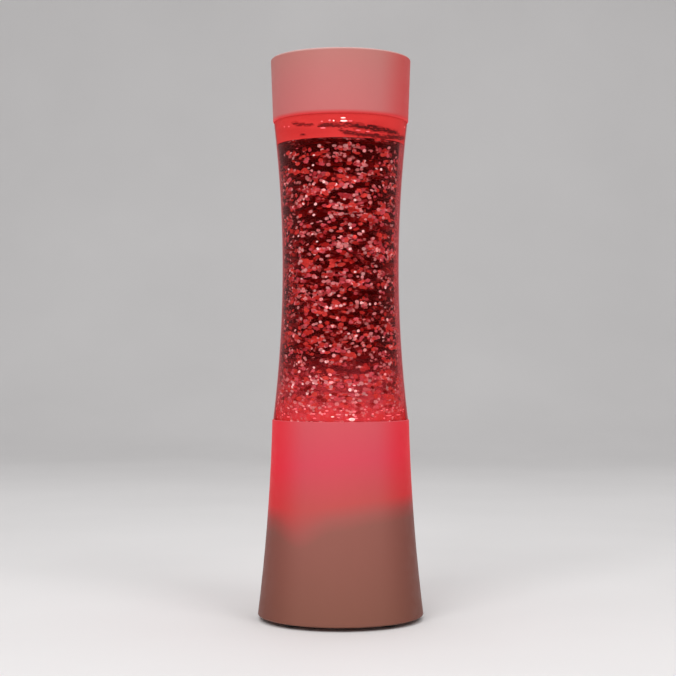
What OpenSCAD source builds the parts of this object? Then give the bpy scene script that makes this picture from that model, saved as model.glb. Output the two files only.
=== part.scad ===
// Glitter lamp: a flared base that holds cells, lights and a motor, a waisted bottle of liquid and
// glitter that a magnet under its floor stirs, and a plain cap over the bottle's stopper.
// Millimetres, +Z up, origin on the table under the lamp's axis.

/* [Outer form] */
// Diameter of the base at its lower edge
base_d = 100; // [92:1:130]
// Diameter of the base at the seam with the bottle
base_top_d = 82.6; // [76:0.2:96]
// How far the base's side is drawn in from a straight cone
base_draw = 1.5; // [0.5:0.1:4]
// Height of the bottle between its two seams
bottle_h = 179.4; // [120:0.2:240]
// How far the bottle's waist is drawn in
waist_draw = 5.4; // [2:0.1:9]
// Diameter of the cap at the seam with the bottle
cap_d = 81.8; // [76:0.2:96]
// Diameter of the cap at its top
cap_top_d = 84.6; // [80:0.2:100]
// Height of the cap
cap_h = 38; // [36:0.5:60]
// How far the bottle stands in from the base and the cap at the seams
seam_step = 0.5; // [0.1:0.1:0.8]
// Rounding of the outer edges of the base and the cap
edge_round = 1.4; // [0.4:0.1:2]
// Rounding of the rims of the base and the cap at the seams
rim_round = 0.6; // [0.2:0.1:0.7]
// Height of the lower edge of the base above the table
foot_drop = 2.4; // [1.2:0.1:5]

/* [Shell and cap] */
// Wall of the base shell
shell_wall = 2.2; // [1.6:0.1:3]
// Wall of the cap
cap_wall = 2; // [1.4:0.1:3]
// Depth of the bottle in the base
sink_depth = 19.5; // [14:0.5:30]
// Thickness of the ledge under the bottle
ledge_t = 2.5; // [1.5:0.1:4]
// Width of the ledge
ledge_w = 11; // [9:0.5:14]
// Gap between parts that are pushed together
fit_gap = 0.2; // [0.1:0.05:0.4]
// Radius of the columns and posts that take screws
post_r = 3.4; // [2.8:0.1:4.2]

/* [Bottle] */
// Wall of the bottle
bottle_wall = 2.2; // [1.6:0.1:3]
// Thickness of the bottle's floor
bottle_floor = 2; // [1.5:0.1:4]
// How far the bottle's two ends stand in from its side
spigot_step = 1.1; // [0.8:0.1:1.4]
// Height of the bottle's upper end inside the cap
spigot_rise = 8.5; // [6:0.5:12]
// Radius of the snap bead round each end of the bottle
bead_r = 0.6; // [0.4:0.05:0.8]
// How far each bead stands back from its seam
bead_back = 5; // [3:0.5:5.5]
// Height of the bottle's shoulder
shoulder_h = 8; // [5:0.5:12]
// Outer radius of the neck
neck_r = 15; // [13:0.5:20]
// Radius of the bore of the neck
mouth_r = 12.5; // [9:0.5:12.5]
// Height of the neck over the shoulder
neck_h = 9; // [7:0.5:12]
// Flange of the stopper over the neck
stopper_flange = 2.5; // [1.5:0.1:4]
// Depth of the stopper in the neck
stopper_depth = 7; // [5:0.5:9]
// Radius of the cord of the stopper's seal ring
seal_r = 0.9; // [0.6:0.1:1.2]

/* [Liquid and glitter] */
// How far the liquid's surface lies under the cap's seam
level_drop = 14.2; // [0.3:0.1:20]
// Gap kept between the liquid and the bottle's side
liquid_gap = 0.2; // [0.1:0.05:0.4]
// Number of glitter flakes
flake_count = 900; // [60:10:1000]
// Radius of a flake over its corners
flake_r = 1.3; // [0.8:0.1:2.2]
// Thickness of a flake
flake_t = 0.2; // [0.15:0.05:0.5]
// Greatest lean and swing of a flake from facing straight out
flake_tilt = 40; // [0:1:60]
// How strongly the flakes crowd towards the floor of the bottle
flake_settle = 1.2; // [1:0.05:2]
// Gap between the flakes and the sides of the liquid
flake_margin = 1; // [0.5:0.1:4]

/* [Stirrer] */
// Radius of the stirrer
stirrer_r = 14; // [12:0.5:20]
// Thickness of the stirrer's disc
stirrer_disc = 4; // [3.6:0.1:6]
// Height of the stirrer's blades
blade_h = 7; // [3:0.5:12]
// Thickness of a blade
blade_t = 1.2; // [0.8:0.1:2]
// Number of blades
blade_count = 6; // [3:1:8]
// Radius of the stirrer's hub
stirrer_hub_r = 4; // [3:0.1:5]
// Radius of the pin that the stirrer turns on
pin_r = 1.2; // [0.9:0.1:1.6]
// Height of the boss under the stirrer
pin_boss_h = 2; // [1.5:0.1:4]
// Gap round and over a turning pin
pin_gap = 0.08; // [0.04:0.01:0.15]
// Gap between the stirrer and the liquid round it
sweep_gap = 1; // [0.5:0.1:3]

/* [Magnets] */
// Radius of a magnet
magnet_r = 4; // [3:0.1:4.4]
// Thickness of a magnet
magnet_t = 3; // [2:0.1:3.4]
// Distance of a magnet from the axis
magnet_at = 9; // [8.6:0.1:9.4]
// Gap round a magnet in its pocket
magnet_gap = 0.05; // [0.02:0.01:0.1]
// Radius of the magnet hub on the motor shaft
hub_r = 14; // [13.6:0.1:18]
// Thickness of the magnet hub
hub_h = 5; // [4:0.1:8]
// Gap between the magnet hub and the bottle
drive_gap = 2; // [1:0.1:4]

/* [Motor] */
// Diameter of the motor
motor_d = 20.1; // [18:0.1:24]
// Width of the motor over its flat sides
motor_flat = 15.1; // [14:0.1:18]
// Length of the motor can
can_l = 20.5; // [16:0.1:26]
// Length of the motor's plastic end
end_bell_l = 4.5; // [3:0.1:6]
// Radius of the bearing boss of the motor
motor_boss_r = 3; // [2.6:0.1:4]
// Height of the bearing boss
motor_boss_h = 1.6; // [1:0.1:3]
// Radius of the motor shaft
shaft_r = 1; // [0.8:0.05:1.5]
// Depth of the shaft in the motor can
shaft_depth = 16; // [8:0.5:16]
// Gap between the bearing boss and the magnet hub
hub_gap = 0.6; // [0.3:0.1:2]
// Thickness of the motor's strap
strap_t = 1.2; // [0.8:0.1:2]
// Width of the motor's strap
strap_w = 8; // [7:0.1:10]
// Length of each foot of the strap
strap_foot = 5.5; // [5:0.1:7]

/* [Light deck] */
// Thickness of the deck
deck_t = 2.4; // [1.8:0.1:4]
// Gap between the deck and the base shell
deck_gap = 0.4; // [0.2:0.1:0.8]
// Room between the battery tower and the deck
wire_room = 1.1; // [0.5:0.1:6]
// Height of the cup that holds the motor
cup_h = 8; // [4:0.5:12]
// Wall of the cup
cup_wall = 1.6; // [1.2:0.1:2]
// Thickness of the light board
board_t = 1.6; // [1:0.1:2]
// Number of lights
led_count = 6; // [3:3:6]
// Radius of a light
led_r = 2.5; // [1.5:0.1:2.6]
// Height of a light's straight side
led_h = 5; // [3:0.1:6]
// Height of a light's collar
led_collar_h = 1; // [0.6:0.1:1.5]
// Length of the control chip
chip_l = 6; // [4:0.1:6]
// Width of the control chip
chip_w = 4; // [3:0.1:4]
// Height of the control chip
chip_h = 1.6; // [1:0.1:3]

/* [Bottom cover] */
// Thickness of the cover plate
cover_t = 2.4; // [2:0.1:4]
// How far the cover lies inside the lower edge of the base
cover_recess = 0.8; // [0.3:0.1:1.5]
// Gap between the cover and the base shell
cover_gap = 0.3; // [0.2:0.1:0.6]
// Height of the columns that take the cover screws
column_h = 30; // [16:1:40]
// Distance of the columns from the wall of the base, at the cover
column_in = 5.9; // [4.5:0.1:8]
// Radius of a rubber foot
foot_r = 5; // [3:0.1:6]
// Distance of the feet from the wall of the base, at the cover
foot_in = 8.5; // [7:0.1:12]
// Depth of a foot in the cover
foot_seat = 1; // [0.5:0.1:1.4]

/* [Cells] */
// Radius of a cell
cell_r = 7.15; // [7:0.05:7.25]
// Length of a cell with its button
cell_l = 50.5; // [44:0.1:50.5]
// Radius of a cell's button
button_r = 2.75; // [2:0.05:2.75]
// Height of a cell's button
button_h = 1; // [0.8:0.1:1.5]
// Gap between a cell and the wall of its pocket
cell_gap = 0.35; // [0.2:0.05:0.6]
// Gap between neighbouring cells
cell_space = 0.5; // [0.3:0.1:1.5]
// Height of a contact spring under load
spring_l = 4.5; // [3.5:0.1:7]
// Radius of the spring wire
spring_wire = 0.35; // [0.25:0.05:0.4]
// Turns of a contact spring
spring_turns = 3; // [2:1:3]
// Thickness of a contact plate
contact_t = 0.4; // [0.3:0.05:0.8]
// Width of a contact plate
contact_w = 8; // [6:0.1:10]
// Wall of the battery tower
tower_wall = 1.6; // [1.2:0.1:2.4]
// Roof of the battery tower
tower_roof = 1.2; // [1:0.1:2.4]

/* [Battery door] */
// Thickness of the door
door_t = 2; // [1.6:0.1:2.4]
// How far the door lies inside the face of the cover
door_recess = 0.6; // [0.4:0.1:1]
// How far the door reaches past the pocket at the sides and the free end
door_lap = 3; // [2:0.1:4]
// Gap round the door
door_gap = 0.3; // [0.2:0.05:0.5]
// Radius of the door's hinge barrel
barrel_r = 1.15; // [1.1:0.05:1.4]
// Radius of the door's hinge stubs
stub_r = 0.8; // [0.6:0.05:0.9]
// Length of the door's hinge stubs
stub_l = 1.6; // [1:0.1:2.5]
// Thickness of the frame round the door
frame_t = 4.4; // [4:0.1:6]
// Width of the frame round the door
frame_w = 4; // [3.5:0.1:6]
// Radius of the finger notch at the door's free end
notch_r = 7; // [5:0.5:9]

/* [Switch] */
// Travel of the switch knob
switch_travel = 4; // [2:0.1:5]
// Length of the knob along its travel
knob_l = 3.6; // [3:0.1:5]
// Width of the knob
knob_w = 3.2; // [2.5:0.1:4]
// How far the knob stands out of the cover
knob_out = 0.8; // [0.4:0.1:1.1]
// Length of the slider inside the switch, beyond the knob
slider_more = 2.8; // [2:0.1:4]
// Height of the slider
slider_h = 2.6; // [2:0.1:3.5]
// Wall of the switch case
case_wall = 1.2; // [0.8:0.1:2]
// Length of each ear of the switch case
ear_l = 4.2; // [4:0.1:6]
// Gap round the moving knob
knob_gap = 0.3; // [0.2:0.05:0.4]
// Distance of the switch from the frame of the door
switch_off = 9; // [7:0.1:11]

/* [Screws and wires] */
// Radius of a large screw
screw_r = 1.3; // [1.1:0.05:1.5]
// Radius of a large screw's head
screw_head_r = 2.6; // [2.2:0.1:3]
// Height of a large screw's head
screw_head_h = 1.2; // [1:0.1:1.3]
// Length of a large screw
screw_l = 12; // [6:0.5:14]
// Radius of a small screw
small_screw_r = 0.9; // [0.7:0.05:1]
// Radius of a small screw's head
small_head_r = 1.8; // [1.4:0.1:2]
// Height of a small screw's head
small_head_h = 1.2; // [0.8:0.1:1.4]
// Gap round a screw in its hole
screw_gap = 0.1; // [0.05:0.05:0.2]
// Radius of a wire
wire_r = 0.6; // [0.4:0.05:0.8]
// Gap round a wire in its hole
wire_gap = 0.4; // [0.2:0.05:0.6]
// Slack of the long wires
wire_bow = 3; // [0:0.5:5]

/* [Hidden] */
$fn = 64;
revolve_fn = 144;
arc_fn = 720;
flake_sides = 6;
flake_seed = 11;
past = 1;

// Heights from the table up: cover, door, cells, deck, motor, magnet hub, bottle
shell_z = foot_drop;
cover_z = shell_z + cover_recess;
cover_top = cover_z + cover_t;
door_z = cover_z + door_recess;
door_top = door_z + door_t;
frame_top = cover_z + frame_t;
stack_z = door_top + contact_t;
stack_top = stack_z + cell_l + spring_l;
pocket_top = stack_top + contact_t;
tower_top = pocket_top + tower_roof;
deck_z = tower_top + wire_room;
deck_top = deck_z + deck_t;
board_top = deck_top + board_t;
can_z = deck_top + end_bell_l;
can_top = can_z + can_l;
motor_boss_top = can_top + motor_boss_h;
hub_z = motor_boss_top + hub_gap;
hub_top = hub_z + hub_h;
bottle_z = hub_top + drive_gap;
seam_z = bottle_z + sink_depth;
cap_z = seam_z + bottle_h;
top_z = cap_z + cap_h;

// Side of the base: a hollow arc from its lower edge to the seam
base_low = [base_d / 2, shell_z];
base_high = [base_top_d / 2, seam_z];
base_arc = chord_radius(base_low, base_high, base_draw);
base_c = chord_centre(base_low, base_high, base_draw);
ledge_top = bottle_z - fit_gap;
ledge_z = ledge_top - ledge_t;
cover_wall_r = shell_inside(cover_top);
cover_r = cover_wall_r - cover_gap;
deck_r = shell_inside(deck_top) - deck_gap;

// Side of the bottle: a hollow arc between the seams, with a spigot at each end
bottle_low = [base_top_d / 2 - seam_step, seam_z];
bottle_high = [cap_d / 2 - seam_step, cap_z];
bottle_arc = chord_radius(bottle_low, bottle_high, waist_draw);
bottle_c = chord_centre(bottle_low, bottle_high, waist_draw);
low_spigot_r = bottle_low[0] - spigot_step;
high_spigot_r = bottle_high[0] - spigot_step;
low_bead_z = seam_z - bead_back;
high_bead_z = cap_z + bead_back;
socket_r = low_spigot_r + fit_gap;
cap_bore_r = high_spigot_r + fit_gap;
spigot_top = cap_z + spigot_rise;
neck_z = spigot_top + shoulder_h;
neck_top = neck_z + neck_h;
seal_z = neck_top - stopper_depth / 2;
seal_at = mouth_r - seal_r - magnet_gap;
floor_z = bottle_z + bottle_floor;
level_z = cap_z - level_drop;
flake_space = 2 * flake_r + fit_gap;

magnet_hole_r = magnet_r + magnet_gap;

// Stirrer on its pin, and the round space in the liquid that it sweeps
stirrer_z = floor_z + pin_boss_h + pin_gap;
blade_z = stirrer_z + stirrer_disc;
stirrer_top = blade_z + blade_h;
pin_cap_h = 2.2;
pin_cap_z = stirrer_top + pin_gap;
sweep_top = pin_cap_z + pin_cap_h;
sweep_r = stirrer_r + sweep_gap;
pin_boss_r = 3 * pin_r;
pin_z = floor_z - bottle_floor / 2;

// Posts and columns for screws
screw_hole_r = screw_r + screw_gap;
small_hole_r = small_screw_r + screw_gap;
wire_hole_r = wire_r + wire_gap;
post_top = ledge_z + ledge_t / 2;
post_back = 1;
post_at = socket_r - ledge_w / 2 - post_back;
column_at = cover_wall_r - column_in;
foot_at = cover_wall_r - foot_in;
post_angles = [90, 210, 330];
foot_hole_r = foot_r + screw_gap;
column_angles = [60, 180, 300];
foot_angles = [45, 135, 225, 315];
screw_sink = screw_head_h + fit_gap;

// Battery pocket, tower, frame and door
cell_pitch = 2 * cell_r + cell_space;
cell_x = [-cell_pitch, 0, cell_pitch];
pocket_x = cell_pitch + cell_r + cell_gap;
pocket_y = cell_r + cell_gap;
tower_x = pocket_x + tower_wall;
tower_y = pocket_y + tower_wall;
door_y = pocket_y + door_lap;
door_x = pocket_x + door_lap;
hinge_x = -door_x + barrel_r;
hinge_z = door_z + door_t / 2;
frame_x = door_x + door_gap + frame_w;
frame_y = door_y + door_gap + frame_w;
barrel_room = hinge_z + barrel_r + door_gap / 2;

// Motor, its cup and strap, and the ring of the light board round them
cup_gap = fit_gap;
cup_y = motor_flat / 2 + cup_gap + cup_wall;
vent_r = motor_flat / 3;
strap_y = cup_y + cup_gap;
strap_foot_y = strap_y + strap_t + strap_foot;
strap_screw_y = strap_y + strap_t + strap_foot / 2;
board_in = norm([strap_w / 2, strap_foot_y]) + fit_gap;
board_out = post_at - post_r - fit_gap;
led_at = (board_in + board_out) / 2;
led_turn = 180 / led_count;

// Switch under the cover
switch_y = -(frame_y + switch_off);
knob_rest = -switch_travel / 2;
slot_l = knob_l + switch_travel + 2 * knob_gap;
slot_w = knob_w + 2 * knob_gap;
slider_l = knob_l + slider_more;
slider_lap = 0.5;
slider_w = slot_w + 2 * slider_lap;
case_in_l = slider_l + switch_travel + 2 * knob_gap;
case_in_w = slider_w + 2 * knob_gap;
case_in_h = slider_h + 2 * pin_gap;
case_l = case_in_l + 2 * case_wall;
case_w = case_in_w + 2 * case_wall;
case_top = cover_top + case_in_h + case_wall;
ear_x = case_l / 2 + ear_l / 2;
ear_t = case_wall;
tag_r = 2 * wire_r;
tag_h = 1.5;

// Wires: two from the cells' contacts, two from the switch, both up to the light board
battery_lead_x = cell_pitch + contact_w / 2 - tag_r;
switch_lead_x = case_l / 2 - tag_r;
wire_sides = 8;
wire_steps = 10;
wire_end = 2 * wire_r;

// Hollow arc with its middle drawn in by draw from the chord between a and b
function chord_radius(a, b, draw) = (pow(norm(b - a), 2) / 4 + draw * draw) / (2 * draw);
function chord_centre(a, b, draw) =
    let (along = (b - a) / norm(b - a))
    (a + b) / 2 + [along[1], -along[0]] * (chord_radius(a, b, draw) - draw);
function arc_x(c, r, z) = c[0] - sqrt(r * r - pow(z - c[1], 2));
function shell_inside(z) = arc_x(base_c, base_arc + shell_wall, z);
function bottle_inside(z) = arc_x(bottle_c, bottle_arc + bottle_wall, z);
function cap_side(z) = cap_d / 2 + (cap_top_d - cap_d) / 2 * (z - cap_z) / cap_h;
function shoulder_z(r) = spigot_top + shoulder_h * (high_spigot_r - r) / (high_spigot_r - neck_r);
function shoulder_drop() =
    let (run = high_spigot_r - neck_r)
    bottle_wall * norm([shoulder_h, run]) / run;

// Area between the axis and a hollow arc, from z0 up to z1
module flared(c, r, z0, z1) {
    reach = max(arc_x(c, r, z0), arc_x(c, r, z1)) + past;
    difference() {
        translate([0, z0]) square([reach, z1 - z0]);
        translate(c) circle(r, $fn = arc_fn);
    }
}

// What a round edge takes off the outer corner at radius r and height z; up is 1 on a top edge
module edge_cut(r, z, e, up) {
    translate([r - e, z - up * e]) difference() {
        translate([0, up > 0 ? 0 : -e - past]) square(e + past);
        circle(e);
    }
}

module revolve() {
    rotate_extrude($fn = revolve_fn) children();
}

// Block l by w over the origin, from z0 up to z1
module block(l, w, z0, z1) {
    translate([-l / 2, -w / 2, z0]) cube([l, w, z1 - z0]);
}

// Round hole from z0 up to z1, cut a little past both
module hole(r, z0, z1) {
    translate([0, 0, z0 - past]) cylinder(r = r, h = z1 - z0 + 2 * past);
}

// Copies of a shape round the axis, at radius at and the given angles
module round_axis(angles, at, z = 0) {
    for (a = angles) rotate(a) translate([at, 0, z]) children();
}

// Cross-head screw that points up, with the underside of its head at z = 0
module screw(head_r, head_h, r, l) {
    slot_l = 1.4 * head_r;
    slot_w = head_r / 3;
    slot_d = head_h / 2;
    difference() {
        union() {
            translate([0, 0, -head_h]) cylinder(r = head_r, h = head_h);
            translate([0, 0, -slot_d]) cylinder(r = r, h = l + slot_d);
        }
        for (a = [0, 90]) rotate(a) block(slot_l, slot_w, -head_h - past, -head_h + slot_d);
    }
}

// Round tube swept along points, with ref a direction that the path never takes
module tube(path, r, sides, ref) {
    last = len(path) - 1;
    function unit(v) = v / norm(v);
    function ring(i) =
        let (along = unit(path[min(i + 1, last)] - path[max(i - 1, 0)]))
        let (side = unit(cross(along, ref)))
        let (up = cross(side, along))
        [for (k = [0:sides - 1]) path[i] + r * (cos(k * 360 / sides) * side + sin(k * 360 / sides) * up)];
    points = [for (i = [0:last]) each ring(i)];
    start_fan = [for (k = [1:sides - 2]) [0, k, k + 1]];
    end_fan = [for (k = [1:sides - 2]) [last * sides, last * sides + k + 1, last * sides + k]];
    walls = [for (i = [0:last - 1]) for (k = [0:sides - 1])
        let (a = i * sides + k)
        let (b = i * sides + (k + 1) % sides)
        each [[a, a + sides, b], [b, a + sides, b + sides]]];
    polyhedron(points, concat(start_fan, walls, end_fan));
}

// Conical contact spring from z0 up to z1, widest at z0
module contact_spring(z0, z1) {
    wide = contact_w / 2 - spring_wire;
    taper = 0.6;
    narrow = wide * taper;
    rings = 12;
    wire_sides = 6;
    steps = spring_turns * rings;
    rise = z1 - z0 - 2 * spring_wire;
    path = [for (i = [0:steps])
        let (t = i / steps)
        let (r = wide + (narrow - wide) * t)
        [r * cos(360 * i / rings), r * sin(360 * i / rings), z0 + spring_wire + rise * t]];
    tube(path, spring_wire, wire_sides, [0, 0, 1]);
}

// Flat-sided round of the motor, grown by more
module motor_outline(more) {
    intersection() {
        circle(motor_d / 2 + more);
        square([motor_d + 2 * more + past, motor_flat + 2 * more], center = true);
    }
}

module base_shell() {
    color("mistyrose") difference() {
        union() {
            revolve() difference() {
                flared(base_c, base_arc, shell_z, seam_z);
                flared(base_c, base_arc + shell_wall, shell_z - past, ledge_z);
                translate([0, ledge_z - past]) square([socket_r - ledge_w, ledge_t + 2 * past]);
                translate([0, ledge_top]) square([socket_r, sink_depth + 2 * past]);
                translate([low_spigot_r, low_bead_z]) circle(bead_r + fit_gap);
                edge_cut(base_d / 2, shell_z, edge_round, -1);
                edge_cut(base_top_d / 2, seam_z, rim_round, 1);
            }
            intersection() {
                round_axis(column_angles, column_at, cover_top) {
                    cylinder(r = post_r, h = column_h);
                    translate([0, -shell_wall / 2, 0]) cube([column_in, shell_wall, column_h]);
                }
                revolve() flared(base_c, base_arc + shell_wall / 2, shell_z, seam_z);
            }
            round_axis(post_angles, post_at, deck_top) cylinder(r = post_r, h = post_top - deck_top);
        }
        round_axis(column_angles, column_at) hole(screw_hole_r, cover_top, cover_top + screw_l);
        round_axis(post_angles, post_at) hole(screw_hole_r, deck_top, deck_top + screw_l);
    }
}

module bottom_cover() {
    color("mistyrose") difference() {
        union() {
            translate([0, 0, cover_z]) cylinder(r = cover_r, h = cover_t, $fn = revolve_fn);
            block(2 * frame_x, 2 * frame_y, cover_z, frame_top);
            block(2 * tower_x, 2 * tower_y, cover_z, tower_top);
        }
        block(2 * pocket_x, 2 * pocket_y, cover_z - past, pocket_top);
        block(2 * (door_x + door_gap), 2 * (door_y + door_gap), cover_z - past, barrel_room);
        translate([hinge_x, 0, hinge_z]) rotate([90, 0, 0]) {
            cylinder(r = stub_r + pin_gap, h = 2 * (door_y + stub_l + door_gap), center = true);
        }
        translate([door_x, 0, cover_z - past]) cylinder(r = notch_r, h = door_recess + past);
        round_axis(column_angles, column_at) {
            hole(screw_hole_r, cover_z, cover_top);
            translate([0, 0, cover_z - past]) cylinder(r = screw_head_r + fit_gap, h = screw_sink + past);
        }
        round_axis(foot_angles, foot_at, cover_z - past) cylinder(r = foot_hole_r, h = foot_seat + past);
        translate([0, switch_y, 0]) {
            block(slot_l, slot_w, cover_z - past, cover_top + past);
            for (s = [-1, 1]) translate([s * ear_x, 0, 0]) hole(small_hole_r, cover_z, cover_top);
        }
        for (s = [-1, 1]) translate([s * battery_lead_x, 0, 0]) hole(wire_hole_r, pocket_top, tower_top);
    }
}

module cover_screws() {
    color("silver") round_axis(column_angles, column_at, cover_z + screw_sink) {
        screw(screw_head_r, screw_head_h, screw_r, screw_l - screw_sink);
    }
}

module rubber_feet() {
    foot_h = cover_z + foot_seat;
    foot_edge = foot_seat / 2;
    color("dimgray") round_axis(foot_angles, foot_at) revolve() difference() {
        square([foot_r, foot_h]);
        edge_cut(foot_r, 0, foot_edge, -1);
    }
}

module battery_door() {
    color("mistyrose") {
        translate([hinge_x, -door_y, door_z]) cube([door_x - hinge_x, 2 * door_y, door_t]);
        translate([hinge_x, 0, hinge_z]) rotate([90, 0, 0]) {
            cylinder(r = barrel_r, h = 2 * door_y, center = true);
            cylinder(r = stub_r, h = 2 * (door_y + stub_l), center = true);
        }
    }
}

// Contact plate at height z from x0 to x1
module contact_plate(x0, x1, z) {
    translate([x0, -contact_w / 2, z]) cube([x1 - x0, contact_w, contact_t]);
}

module door_contacts() {
    color("silver") {
        contact_plate(cell_x[0] - contact_w / 2, cell_x[1] + contact_w / 2, door_top);
        contact_plate(cell_x[2] - contact_w / 2, cell_x[2] + contact_w / 2, door_top);
    }
}

module door_spring() {
    color("silver") contact_spring(stack_z, stack_z + spring_l);
}

// Cell with its button up, standing on z = 0
module cell() {
    rim = 0.6;
    body_l = cell_l - button_h;
    rotate_extrude() polygon([
        [0, 0], [cell_r - rim, 0], [cell_r, rim], [cell_r, body_l - rim], [cell_r - rim, body_l],
        [button_r, body_l], [button_r, cell_l], [0, cell_l]
    ]);
}

module battery_cells() {
    color("goldenrod") {
        for (i = [0, 2]) translate([cell_x[i], 0, stack_z + cell_l]) mirror([0, 0, 1]) cell();
        translate([cell_x[1], 0, stack_z + spring_l]) cell();
    }
}

module pocket_springs() {
    color("silver") for (i = [0, 2]) {
        translate([cell_x[i], 0, stack_top]) mirror([0, 0, 1]) contact_spring(0, spring_l);
    }
}

module pocket_contacts() {
    color("silver") {
        contact_plate(cell_x[0] - contact_w / 2, cell_x[0] + contact_w / 2, stack_top);
        contact_plate(cell_x[1] - contact_w / 2, cell_x[2] + contact_w / 2, stack_top);
    }
}

module switch_case() {
    color("dimgray") translate([0, switch_y, 0]) {
        difference() {
            union() {
                block(case_l, case_w, cover_top, case_top);
                block(case_l + 2 * ear_l, case_w, cover_top, cover_top + ear_t);
            }
            block(case_in_l, case_in_w, cover_top - past, cover_top + case_in_h);
            for (s = [-1, 1]) translate([s * ear_x, 0, 0]) hole(small_hole_r, cover_top, cover_top + ear_t);
        }
        for (s = [-1, 1]) translate([s * switch_lead_x, 0, case_top - case_wall / 2]) {
            cylinder(r = tag_r, h = tag_h + case_wall / 2);
        }
    }
}

module switch_screws() {
    color("silver") for (s = [-1, 1]) translate([s * ear_x, switch_y, cover_top + ear_t]) {
        mirror([0, 0, 1]) screw(small_head_r, small_head_h, small_screw_r, ear_t + cover_t - screw_gap);
    }
}

module switch_knob() {
    grip_count = 3;
    grip_w = 0.5;
    grip_step = knob_l / (grip_count + 1);
    knob_z = cover_z - knob_out;
    slider_z = cover_top + pin_gap;
    color("black") translate([knob_rest, switch_y, 0]) {
        difference() {
            block(knob_l, knob_w, knob_z, slider_z + slider_h / 2);
            for (i = [1:grip_count]) translate([i * grip_step - knob_l / 2, 0, 0]) {
                block(grip_w, knob_w + past, knob_z - past, knob_z + grip_w);
            }
        }
        block(slider_l, slider_w, slider_z, slider_z + slider_h);
    }
}

module light_deck() {
    color("whitesmoke") difference() {
        union() {
            translate([0, 0, deck_z]) cylinder(r = deck_r, h = deck_t, $fn = revolve_fn);
            translate([0, 0, deck_z]) linear_extrude(deck_t + cup_h) motor_outline(cup_gap + cup_wall);
        }
        translate([0, 0, deck_top]) linear_extrude(cup_h + past) motor_outline(cup_gap);
        hole(vent_r, deck_z, deck_top);
        round_axis(post_angles, post_at) hole(screw_hole_r, deck_z, deck_top);
        round_axis(column_angles, column_at) hole(post_r + 2 * deck_gap, deck_z, deck_top);
        for (s = [-1, 1]) translate([0, s * strap_screw_y, 0]) hole(small_hole_r, deck_z, deck_top);
        wire_holes(deck_z, deck_top);
    }
}

// Holes for the wires through a plate that lies from z0 up to z1
module wire_holes(z0, z1) {
    for (s = [-1, 1]) {
        translate([s * battery_lead_x, 0, 0]) hole(wire_hole_r, z0, z1);
        translate([s * switch_lead_x, switch_y, 0]) hole(wire_hole_r, z0, z1);
    }
}

module deck_screws() {
    color("silver") round_axis(post_angles, post_at, deck_z) {
        screw(screw_head_r, screw_head_h, screw_r, screw_l);
    }
}

module led_board() {
    color("darkgreen") difference() {
        translate([0, 0, deck_top]) cylinder(r = board_out, h = board_t, $fn = revolve_fn);
        hole(board_in, deck_top, board_top);
        wire_holes(deck_top, board_top);
    }
}

module leds() {
    collar_lap = 0.4;
    led_angles = [for (i = [0:led_count - 1]) led_turn + i * 360 / led_count];
    color("tomato") round_axis(led_angles, led_at, board_top) {
        cylinder(r = led_r + collar_lap, h = led_collar_h);
        difference() {
            union() {
                cylinder(r = led_r, h = led_h);
                translate([0, 0, led_h]) sphere(led_r);
            }
            translate([0, 0, -2 * led_r]) cube(4 * led_r, center = true);
        }
    }
}

module control_chip() {
    color("black") rotate(led_turn + 180 / led_count) translate([led_at, 0, board_top + chip_h / 2]) {
        cube([chip_w, chip_l, chip_h], center = true);
    }
}

module motor_can() {
    color("silver") difference() {
        union() {
            translate([0, 0, can_z]) linear_extrude(can_l) motor_outline(0);
            translate([0, 0, can_top - past]) cylinder(r = motor_boss_r, h = motor_boss_h + past);
        }
        translate([0, 0, can_top - shaft_depth - pin_gap]) {
            cylinder(r = shaft_r + pin_gap, h = shaft_depth + motor_boss_h + past);
        }
    }
}

module motor_end_bell() {
    color("white") translate([0, 0, deck_top]) linear_extrude(end_bell_l) motor_outline(0);
}

module motor_strap() {
    color("silver") difference() {
        union() {
            block(strap_w, 2 * strap_foot_y, deck_top, deck_top + strap_t);
            block(strap_w, 2 * (strap_y + strap_t), deck_top, can_top + strap_t);
        }
        block(strap_w + past, 2 * strap_y, deck_top - past, can_top);
        hole(motor_boss_r + fit_gap, can_top, can_top + strap_t);
        for (s = [-1, 1]) translate([0, s * strap_screw_y, 0]) {
            hole(small_hole_r, deck_top, deck_top + strap_t);
        }
    }
}

module strap_screws() {
    color("silver") for (s = [-1, 1]) translate([0, s * strap_screw_y, deck_top + strap_t]) {
        mirror([0, 0, 1]) screw(small_head_r, small_head_h, small_screw_r, strap_t + deck_t);
    }
}

module motor_shaft() {
    color("silver") translate([0, 0, can_top - shaft_depth]) {
        cylinder(r = shaft_r, h = hub_top - can_top + shaft_depth);
    }
}

module magnet_hub() {
    color("white") difference() {
        translate([0, 0, hub_z]) cylinder(r = hub_r, h = hub_h);
        hole(shaft_r + magnet_gap, hub_z, hub_top);
        round_axis([0, 180], magnet_at, hub_top - magnet_t) {
            cylinder(r = magnet_hole_r, h = magnet_t + past);
        }
    }
}

module drive_magnets() {
    color("gray") round_axis([0, 180], magnet_at, hub_top - magnet_t) cylinder(r = magnet_r, h = magnet_t);
}

// Wire that rises from z0 to z1 over the point [x, y], bowed towards the axis in y
module riser(x, y, z0, z1, bow) {
    straight = wire_end;
    run = z1 - z0 - 2 * straight;
    middle = [for (i = [0:wire_steps])
        let (t = i / wire_steps)
        [x, y + bow * pow(sin(180 * t), 2), z0 + straight + run * t]];
    tube(concat([[x, y, z0]], middle, [[x, y, z1]]), wire_r, wire_sides, [1, 0, 0]);
}

module battery_leads() {
    color("red") for (s = [-1, 1]) riser(s * battery_lead_x, 0, pocket_top, board_top + wire_end, 0);
}

module switch_leads() {
    color("red") for (s = [-1, 1]) {
        riser(s * switch_lead_x, switch_y, case_top + tag_h, board_top + wire_end, wire_bow);
    }
}

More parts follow.
